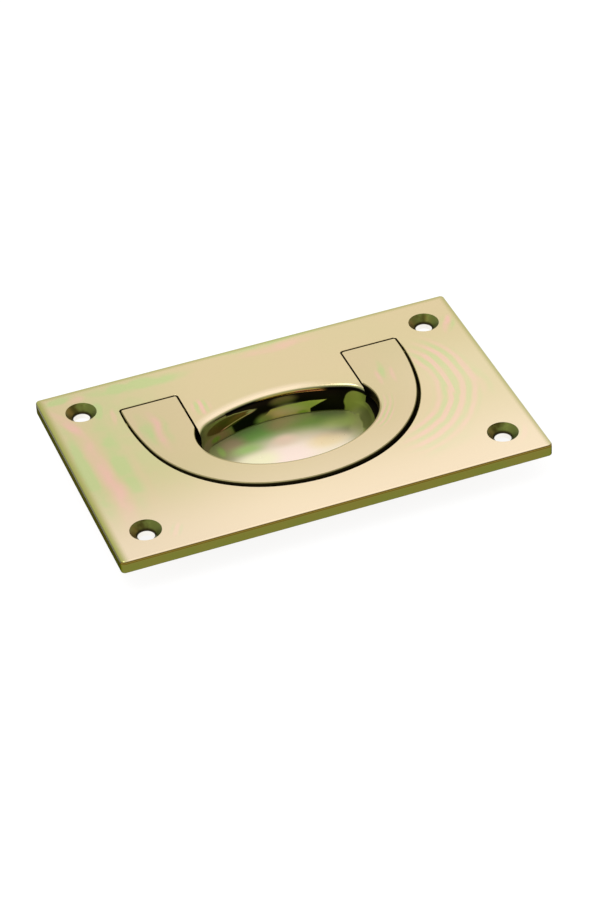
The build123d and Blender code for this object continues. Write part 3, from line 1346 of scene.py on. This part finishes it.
@dataclass
class Casting(ABC):
    """A cast piece that keeps the form of its solid and is finished zone by zone."""

    name: str
    node: Node
    body: Body
    slot: Slot
    weld: float = 0.002
    smooth_angle: float = 52.0
    top: float = field(init=False)
    half_length: float = field(init=False)
    half_width: float = field(init=False)

    def __post_init__(self) -> None:
        """Reads the casting's top and half the plate's length and width from the frame."""
        self.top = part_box(self.node.value)[1][2] / MM
        plate_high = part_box(Node.PLATE.value)[1]
        self.half_length, self.half_width = plate_high[0] / MM, plate_high[1] / MM

    def build(self) -> bpy.types.Object:
        """Returns:
            The finished piece.
        """
        skin = self._welded_copy()
        facets = Facets(skin.data)
        turned = facets.corner_normals(self.smooth_cosines(facets.places / MM))
        skin.data.polygons.foreach_set("use_smooth", [True] * len(skin.data.polygons))
        skin.data.normals_split_custom_set(turned.tolist())
        zones = self.zones(facets)
        for finish_name, finish in self.finishes().items():
            skin.data.materials.append(finish.material(finish_name))
        skin.data.polygons.foreach_set("material_index", zones.astype(np.int32))
        skin.data.update()
        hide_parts(self.node.value)
        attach(skin, self.body.value)
        return skin

    def _welded_copy(self) -> bpy.types.Object:
        """Copies the solid's mesh and welds its facets together.

        Returns:
            The welded skin.
        """
        mesh = frame["nodes"][self.node.value].data.copy()
        mesh.name = self.name
        mesh.materials.clear()
        shape = bmesh.new()
        shape.from_mesh(mesh)
        bmesh.ops.remove_doubles(shape, verts=shape.verts, dist=self.weld * MM)
        shape.to_mesh(mesh)
        shape.free()
        layers = [layer.name for layer in mesh.attributes]
        for spare in (name for name in layers if name.startswith("custom_normal")):
            mesh.attributes.remove(mesh.attributes[spare])
        skin = bpy.data.objects.new(self.name, mesh)
        bpy.context.scene.collection.objects.link(skin)
        return skin

    def smooth_cosines(self, places: np.ndarray) -> np.ndarray:
        """The cosine of the sharpest angle that shades as smooth, at each vertex."""
        return np.full(len(places), cos(radians(self.smooth_angle)))

    @abstractmethod
    def zones(self, facets: Facets) -> np.ndarray:
        """Picks a finish for each facet, by its number in finishes()."""

    @abstractmethod
    def finishes(self) -> dict[str, Finish]:
        """The casting's finishes by material name, in order."""


# ----------------------------------------------------------------------------------------------
# Pieces
# ----------------------------------------------------------------------------------------------


PLATE_BANDS: tuple[Band, ...] = (
    Rings((18.6, 2.5), 15.5, 28.5, -24.0, 66.0, 2.8, 1.4),
    Streaks((38.6, 1.0), (11.0, 2.4), 91.0, 1.9, 1.0),
    Streaks((34.5, -10.5), (7.0, 2.6), 52.0, 2.1, 0.9),
    Blush((44.4, 0.0), (10.0, 1.4), 92.0, 0.7),
    Blush((46.4, -2.0), (10.0, 1.4), 92.0, -0.4),
    Blush((30.0, -22.0), (12.0, 3.4), 20.0, -0.5),
    Streaks((-44.2, -3.0), (23.0, 9.5), 91.0, 8.0, 0.85),
    Blush((-48.6, 2.0), (28.0, 2.4), 90.0, -0.6),
    Blush((-40.0, 6.0), (16.0, 3.0), 91.0, -0.32),
    Blush((-34.0, 12.0), (36.0, 16.0), 90.0, -0.4),
    Blush((-47.0, 20.0), (9.0, 2.0), 112.0, 0.8),
    Blush((-46.0, 29.0), (5.0, 2.2), 0.0, -1.2),
    Blush((-41.8, 27.7), (3.2, 1.6), 0.0, 0.7),
    Blush((-27.0, 27.8), (15.5, 2.8), 178.0, -1.0),
    Blush((-38.6, 21.5), (4.2, 1.9), 80.0, -1.1),
    Blush((-35.8, 18.0), (4.0, 1.0), 74.0, 0.7),
    Blush((8.0, 28.0), (13.0, 1.9), 179.0, 0.5),
    Blush((6.0, 30.6), (20.0, 1.3), 180.0, -0.7),
    Streaks((-16.6, 13.6), (3.6, 2.9), 86.0, 2.3, 1.0),
    Streaks((-36.2, -25.8), (3.0, 2.2), 62.0, 2.4, 1.0),
    Streaks((47.4, 20.4), (4.4, 2.4), 66.0, 3.0, 1.0),
    Streaks((46.4, -25.4), (4.6, 2.2), 62.0, 3.0, 1.0),
)

HANDLE_BANDS: tuple[Band, ...] = (
    Streaks((-28.4, 9.0), (9.5, 3.6), 91.0, 4.4, 0.7),
    Blush((-31.2, 11.0), (9.0, 1.8), 92.0, -0.6),
    Blush((-30.5, -3.0), (5.0, 1.4), 112.0, 0.4),
    Blush((26.2, 10.0), (5.5, 1.4), 92.0, -0.8),
    Blush((24.6, 7.4), (4.0, 1.0), 88.0, 0.7),
    Blush((28.6, 7.0), (4.4, 0.9), 86.0, 0.5),
    Rings((10.5, 2.5), 11.2, 16.0, -34.0, 30.0, 1.25, 0.6),
)


@dataclass(frozen=True)
class PocketForm:
    """The pocket's outer form: three arcs a side for the near side, the shoulder and the leg."""

    near_y: float = 15.7
    shoulder: Point2 = (1.85, 9.95)
    shoulder_radius: float = 31.77
    leg: Point2 = (-27.5, 16.75)

    def beyond(self, x: np.ndarray, y: np.ndarray) -> np.ndarray:
        """How far places lie outside the form, where inside counts as less than nothing.

        Args:
            x: Places across the plate, in millimetres.
            y: Places up the plate, in millimetres.

        Returns:
            The distances in millimetres.
        """
        x = np.abs(x)
        right, up = self.shoulder
        distance = np.hypot(x - right, y - up) - self.shoulder_radius
        turn = np.arctan2(y - up, x - right)
        for centre, before in (((0.0, self.near_y), True), (self.leg, False)):
            reach = hypot(right - centre[0], up - centre[1])
            joint = atan2(up - centre[1], right - centre[0])
            past = turn < joint if before else turn > joint
            radius = self.shoulder_radius + reach
            distance = np.where(past, np.hypot(x - centre[0], y - centre[1]) - radius, distance)
        return distance


@dataclass
class PlateCasting(Casting):
    """The plate with its tongue, pocket and finger well."""

    name: str = "plate_casting"
    node: Node = Node.PLATE
    body: Body = Body.PLATE
    slot: Slot = Slot.PLATE
    pocket: PocketForm = PocketForm()
    pocket_end_y: float = 20.55
    tongue_half_x: float = 20.1
    well_centre_y: float = 1.7
    well_reach: Point2 = (22.5, 18.9)
    well_depth: float = 7.4
    lip_drop: float = 0.3
    rim_break: float = 0.3
    bevel_drop: float = 0.16
    bevel_end_y: float = 17.0
    edge_radius: float = 0.55
    sink_radius: float = 3.6
    crisp_angle: float = 30.0
    slack: float = 0.05
    hole: Point2 = field(init=False)
    bore_top: float = field(init=False)

    def __post_init__(self) -> None:
        """Reads the screw holes from the frame too."""
        super().__post_init__()
        mounts = {mount["name"]: mount["dims"] for mount in frame["record"]["mounts"]}
        holes = mounts["screw_holes"]
        self.hole = (holes["spacing_x_mm"] / 2, holes["spacing_y_mm"] / 2)
        self.bore_top = self.top - (self.sink_radius - holes["hole_r_mm"])

    def _near_hole(self, places: np.ndarray, margin: float) -> np.ndarray:
        """Tells which places are within a screw hole's countersink, with a margin round it."""
        right, up = np.abs(places[:, 0]) - self.hole[0], np.abs(places[:, 1]) - self.hole[1]
        return np.hypot(right, up) < self.sink_radius + margin

    def smooth_cosines(self, places: np.ndarray) -> np.ndarray:
        """As for any casting, but crisp round the countersinks.

        Args:
            places: The vertices in millimetres.

        Returns:
            One cosine for each vertex.
        """
        crisp = cos(radians(self.crisp_angle))
        near_hole = self._near_hole(places, 4 * self.slack)
        return np.where(near_hole, crisp, super().smooth_cosines(places))

    def zones(self, facets: Facets) -> np.ndarray:
        """Sorts the facets into face, sinks, pocket, well, back and sides.

        Args:
            facets: The plate's facets.

        Returns:
            The zone of each facet.
        """
        centres = facets.centres / MM
        x, y, z = centres.T
        below = z < self.top - self.slack / 10
        out = self.pocket.beyond(x, y)
        on_arc = below & (out > -self.slack) & (y < self.bevel_end_y)
        in_pocket = (out < 4 * self.slack) & (y < self.pocket_end_y + 4 * self.slack)
        in_pocket &= on_arc | (z < self.top - self.bevel_drop)
        in_tongue = (np.abs(x) < self.tongue_half_x - self.slack) & (y > self.well_centre_y)
        up = (y - self.well_centre_y) / self.well_reach[1]
        in_oval = np.hypot(x / self.well_reach[0], up) < 1
        in_well = in_oval & (in_tongue | (z < -self.rim_break)) & (z < self.top - self.lip_drop)
        past_side = np.maximum(np.abs(x) - self.half_length, np.abs(y) - self.half_width)
        zone = np.full(len(centres), PlateZone.FACE)
        zone[in_pocket & ~in_tongue] = PlateZone.POCKET
        zone[in_well] = PlateZone.WELL
        zone[self._near_hole(centres, 0.0) & below] = PlateZone.SINK
        zone[(past_side > -self.edge_radius) & (z < self.top - self.edge_radius)] = PlateZone.SIDE
        outer = (zone == PlateZone.SINK) | (zone == PlateZone.SIDE)
        zone[~facets.open_to_front() & ~outer] = PlateZone.BACK
        return zone

    def finishes(self) -> dict[str, Finish]:
        """The plate's finishes by material name.

        Returns:
            A finish for each zone, in the zones' order.
        """
        face = PolishedPlate(PLATE_BANDS, self.half_length, self.half_width, self.top)
        return {
            "polished_plate_brass": face,
            "turned_sink_brass": TurnedSink(self.hole, self.bore_top),
            "cast_pocket_brass": CastPocket(self.top),
            "polished_well_brass": PolishedWell(self.top, self.top - self.well_depth),
            "cast_back_brass": CastSkin(),
            "filed_side_brass": FiledSide(self.top),
        }


@dataclass
class HandleCasting(Casting):
    """The horseshoe handle."""

    name: str = "handle_casting"
    node: Node = Node.HANDLE
    body: Body = Body.HANDLE
    slot: Slot = Slot.HANDLE
    flat_drop: float = 0.03
    bevel_drop: float = 0.26
    leg_end_y: float = 19.8
    leg_inner_x: float = 20.7
    leg_foot_y: float = 7.0
    facing_down: float = -0.5

    def zones(self, facets: Facets) -> np.ndarray:
        """Sorts the facets into front, sides and underside.

        Args:
            facets: The handle's facets.

        Returns:
            The zone of each facet.
        """
        x, y, z = facets.centres.T / MM
        on_leg = (y > self.leg_end_y) | ((np.abs(x) < self.leg_inner_x) & (y > self.leg_foot_y))
        polished = (z > self.top - self.flat_drop) | (on_leg & (z > self.top - self.bevel_drop))
        zone = np.where(polished, HandleZone.FRONT, HandleZone.SIDE)
        zone[facets.normals[:, 2] < self.facing_down] = HandleZone.UNDERSIDE
        return zone

    def finishes(self) -> dict[str, Finish]:
        """The handle's finishes by material name.

        Returns:
            A finish for each zone, in the zones' order.
        """
        front = PolishedHandle(HANDLE_BANDS, self.half_length, self.half_width, self.top)
        return {
            "polished_handle_brass": front,
            "filed_handle_side_brass": FiledRim(self.top),
            "handle_underside_brass": CastSkin(),
        }


@dataclass
class HingePin:
    """One of the two plain bars that the handle turns on, driven in from a short edge."""

    name: str
    node: Node
    turning: bpy.types.NodeTree
    finish: bpy.types.Material
    bevel: float = 0.2
    sharp_angle: float = 40.0

    def build(self) -> bpy.types.Object:
        """Returns:
            The finished piece.
        """
        low, high = (Vector(corner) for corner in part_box(self.node.value))
        inner, outer = sorted((low.x, high.x), key=abs)
        axis = (low + high) / 2
        mesh = self._turned({
            "Radius": (high.z - low.z) / 2,
            "Bevel": self.bevel * MM,
            "Inner End": (inner, axis.y, axis.z),
            "Outer End": (outer, axis.y, axis.z),
            "Material": self.finish,
        })
        mesh.name = self.name
        mesh.set_sharp_from_angle(angle=radians(self.sharp_angle))
        pin = bpy.data.objects.new(self.name, mesh)
        bpy.context.scene.collection.objects.link(pin)
        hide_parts(self.node.value)
        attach(pin, Body.PLATE.value)
        return pin

    def _turned(self, inputs: dict[str, object]) -> bpy.types.Mesh:
        """Runs the node tree that turns a bar.

        Args:
            inputs: The values of the tree's inputs by name.

        Returns:
            The bar as a plain mesh.
        """
        blank = bpy.data.objects.new("blank", bpy.data.meshes.new("blank"))
        bpy.context.scene.collection.objects.link(blank)
        modifier = blank.modifiers.new("turning", "NODES")
        modifier.node_group = self.turning
        for item in self.turning.interface.items_tree:
            if item.in_out == "INPUT" and item.name in inputs:
                modifier[item.identifier] = inputs[item.name]
        depsgraph = bpy.context.evaluated_depsgraph_get()
        mesh = bpy.data.meshes.new_from_object(blank.evaluated_get(depsgraph), depsgraph=depsgraph)
        blank.modifiers.remove(modifier)
        bpy.data.objects.remove(blank)
        return mesh


@dataclass
class PinTurning:
    """The node tree that turns a bar with one bevelled end."""

    facets: int = 40

    def build(self) -> bpy.types.NodeTree:
        """Builds the tree.

        Returns:
            The tree, with its sizes as named inputs.
        """
        group = bpy.data.node_groups.new("pin_turning", "GeometryNodeTree")
        kinds = {"Radius": "Float", "Bevel": "Float", "Inner End": "Vector", "Outer End": "Vector"}
        for name, kind in {"Geometry": "Geometry", **kinds, "Material": "Material"}.items():
            group.interface.new_socket(name, in_out="INPUT", socket_type="NodeSocket" + kind)
        group.interface.new_socket("Geometry", in_out="OUTPUT", socket_type="NodeSocketGeometry")
        tree = NodeTree(group)
        radius, bevel, inner, outer = (tree.node("NodeGroupInput", output=name) for name in kinds)
        index = tree.node("GeometryNodeInputIndex")
        line = tree.node("GeometryNodeMeshLine", None, {"Count": 3})
        for number, stop in enumerate((inner, self._shoulder(tree, inner, outer, bevel), outer)):
            move = {"Geometry": line, "Selection": self._is(tree, index, number), "Position": stop}
            line = tree.node("GeometryNodeSetPosition", None, move)
        sizes = {0: self._is(tree, index, 0), 1: radius, 2: radius - bevel}
        bar = tree.node("GeometryNodeCurveToMesh", None, {
            "Curve": tree.node("GeometryNodeMeshToCurve", None, {0: line}),
            "Profile Curve": tree.node(
                "GeometryNodeCurvePrimitiveCircle", None, {"Resolution": self.facets, "Radius": 1.0}
            ),
            "Scale": tree.node("GeometryNodeSwitch", {"input_type": "FLOAT"}, sizes),
            "Fill Caps": True,
        })
        real = tree.node("GeometryNodeRealizeInstances", None, {0: bar})
        finish = {"Geometry": real, "Material": tree.node("NodeGroupInput", output="Material")}
        dressed = tree.node("GeometryNodeSetMaterial", None, finish)
        tree.node("NodeGroupOutput", None, {"Geometry": dressed})
        return group

    @staticmethod
    def _is(tree: NodeTree, index: Socket, number: int) -> Socket:
        """Whether a point has this number."""
        settings = {"data_type": "INT", "operation": "EQUAL"}
        return tree.node("FunctionNodeCompare", settings, {2: index, 3: number})

    @staticmethod
    def _shoulder(tree: NodeTree, inner: Socket, outer: Socket, bevel: Socket) -> Socket:
        """Finds where the bevel ends.

        Args:
            tree: The tree to build in.
            inner: The middle of the bevelled end.
            outer: The middle of the other end.
            bevel: How far the bevel reaches.

        Returns:
            The place on the bar's axis.
        """
        kind = "ShaderNodeVectorMath"
        whole = tree.node(kind, {"operation": "SUBTRACT"}, {0: outer, 1: inner})
        heading = tree.node(kind, {"operation": "NORMALIZE"}, {0: whole})
        offset = tree.node(kind, {"operation": "SCALE"}, {0: heading, "Scale": bevel})
        return tree.node(kind, {"operation": "ADD"}, {0: inner, 1: offset})


# ----------------------------------------------------------------------------------------------
# Studio
# ----------------------------------------------------------------------------------------------


@dataclass
class Studio:
    """The pale floor, the soft surrounding light, the lamp and the camera."""

    azimuth: float = 18.937
    elevation: float = 38.008
    roll: float = -3.2346
    aim: Point2 = (-1.625, -10.562)
    distance: float = 707.278
    lens: float = 126.078
    sensor: float = 36.0
    floor_radius: float = 3000.0
    floor_sides: int = 96
    floor_colour: Colour = (0.86, 0.86, 0.86)
    floor_glow: float = 1.12
    seen_share: float = 0.8
    camera_side: float = 0.42
    far_side: float = 0.98
    overhead: float = 1.12
    lamp_size: float = 500.0
    lamp_place: Point3 = (-280.0, -100.0, 900.0)
    lamp_power: float = 1.6
    white: tuple[float, ...] = (1.0, 1.0, 1.0, 1.0)
    far_rise: Point2 = (-0.55, 0.45)
    overhead_rise: Point2 = (0.45, 0.95)
    top: float = field(init=False)

    def build(self) -> None:
        """Sets up the whole studio."""
        low, high = CAD_BOUNDS
        self.top = high.z / MM
        self._floor(low.z)
        self._surroundings()
        self._lamp()
        self._camera()
        bpy.context.scene.view_settings.view_transform = "Standard"

    def _floor(self, level: float) -> None:
        """Lays a round pale floor under the object.

        Args:
            level: The floor's height in metres.
        """
        shape = bmesh.new()
        size = {"segments": self.floor_sides, "radius": self.floor_radius * MM}
        bmesh.ops.create_circle(shape, cap_ends=True, **size)
        bmesh.ops.translate(shape, verts=shape.verts, vec=(0, 0, level))
        mesh = bpy.data.meshes.new("studio_floor")
        shape.to_mesh(mesh)
        shape.free()
        material = bpy.data.materials.new("pale_floor")
        material.use_nodes = True
        tree = ShaderTree(material.node_tree)
        seen = self._seen(tree) * self.seen_share
        matt = tree.node("ShaderNodeBsdfDiffuse", None, {"Color": (*self.floor_colour, 1.0)})
        glow = tree.node("ShaderNodeEmission", None, {"Color": self.white, "Strength": self.floor_glow})
        shader = tree.node("ShaderNodeMixShader", None, {0: seen, 1: matt, 2: glow})
        tree.node("ShaderNodeOutputMaterial", None, {"Surface": shader})
        mesh.materials.append(material)
        floor = bpy.data.objects.new("studio_floor", mesh)
        bpy.context.scene.collection.objects.link(floor)

    @staticmethod
    def _seen(tree: ShaderTree) -> Socket:
        """Tells what is seen, directly or in a mirror or a glass, from what only gives light.

        Args:
            tree: The tree to build in.

        Returns:
            1 for what is seen and otherwise 0.
        """
        paths = [
            tree.node("ShaderNodeLightPath", output=name)
            for name in ("Is Camera Ray", "Is Glossy Ray", "Is Transmission Ray")
        ]
        return paths[0].larger(paths[1]).larger(paths[2])

    def _surroundings(self) -> None:
        """Makes a room that is bright overhead and beyond the object and dimmer behind the eye."""
        world = bpy.data.worlds.new("soft_room")
        world.use_nodes = True
        bpy.context.scene.world = world
        tree = ShaderTree(world.node_tree)
        way = tree.node("ShaderNodeTexCoord", output="Generated")
        y, z = (tree.node("ShaderNodeSeparateXYZ", None, {0: way}, axis) for axis in (1, 2))
        level = self.camera_side + y.step(*self.far_rise) * (self.far_side - self.camera_side)
        level = level + z.step(*self.overhead_rise) * (self.overhead - level)
        camera = tree.node("ShaderNodeLightPath", output="Is Camera Ray")
        room, seen = (
            tree.node("ShaderNodeBackground", None, {"Color": self.white, "Strength": strength})
            for strength in (level, 1.0)
        )
        shader = tree.node("ShaderNodeMixShader", None, {0: camera, 1: room, 2: seen})
        tree.node("ShaderNodeOutputWorld", None, {"Surface": shader})

    def _lamp(self) -> None:
        """Hangs one large soft lamp high over the object's left."""
        light = bpy.data.lights.new("soft_lamp", "AREA")
        light.shape = "DISK"
        light.size = self.lamp_size * MM
        light.energy = self.lamp_power
        lamp = bpy.data.objects.new("soft_lamp", light)
        lamp.location = Vector(self.lamp_place) * MM
        lamp.rotation_euler = (-lamp.location).to_track_quat("-Z", "Y").to_euler()
        bpy.context.scene.collection.objects.link(lamp)

    def _camera(self) -> None:
        """Sets the camera on its line of sight, with its slight roll."""
        turn, tilt, roll = radians(self.azimuth), radians(self.elevation), radians(self.roll)
        forward = Vector((sin(turn) * cos(tilt), cos(turn) * cos(tilt), -sin(tilt)))
        level = forward.cross(Vector((0, 0, 1))).normalized()
        upright = level.cross(forward)
        right = level * cos(roll) + upright * sin(roll)
        up = right.cross(forward)
        target = Vector((*self.aim, self.top)) * MM
        lens = bpy.data.cameras.new("camera")
        lens.lens = self.lens
        lens.sensor_width = self.sensor
        camera = bpy.data.objects.new("camera", lens)
        stance = Matrix((right, up, -forward)).transposed().to_4x4()
        stance.translation = target - forward * (self.distance * MM)
        camera.matrix_world = stance
        bpy.context.scene.collection.objects.link(camera)
        bpy.context.scene.camera = camera


def main() -> None:
    """Builds every piece in order and reports it, and then builds the studio."""
    logging.basicConfig(level=logging.INFO, format="%(name)s %(message)s")
    turning = PinTurning().build()
    bar = DrawnBar(CAD_BOUNDS[1].x / MM).material("drawn_bar_brass")
    pieces = (
        PlateCasting(),
        HandleCasting(),
        HingePin("left_pin", Node.LEFT_PIN, turning, bar),
        HingePin("right_pin", Node.RIGHT_PIN, turning, bar),
    )
    for piece in pieces:
        made = piece.build()
        LOG.info("%s: %d faces", made.name, len(made.data.polygons))
    Studio().build()
    LOG.info("studio: floor, surroundings, lamp and camera")


if __name__ == "__main__":
    main()
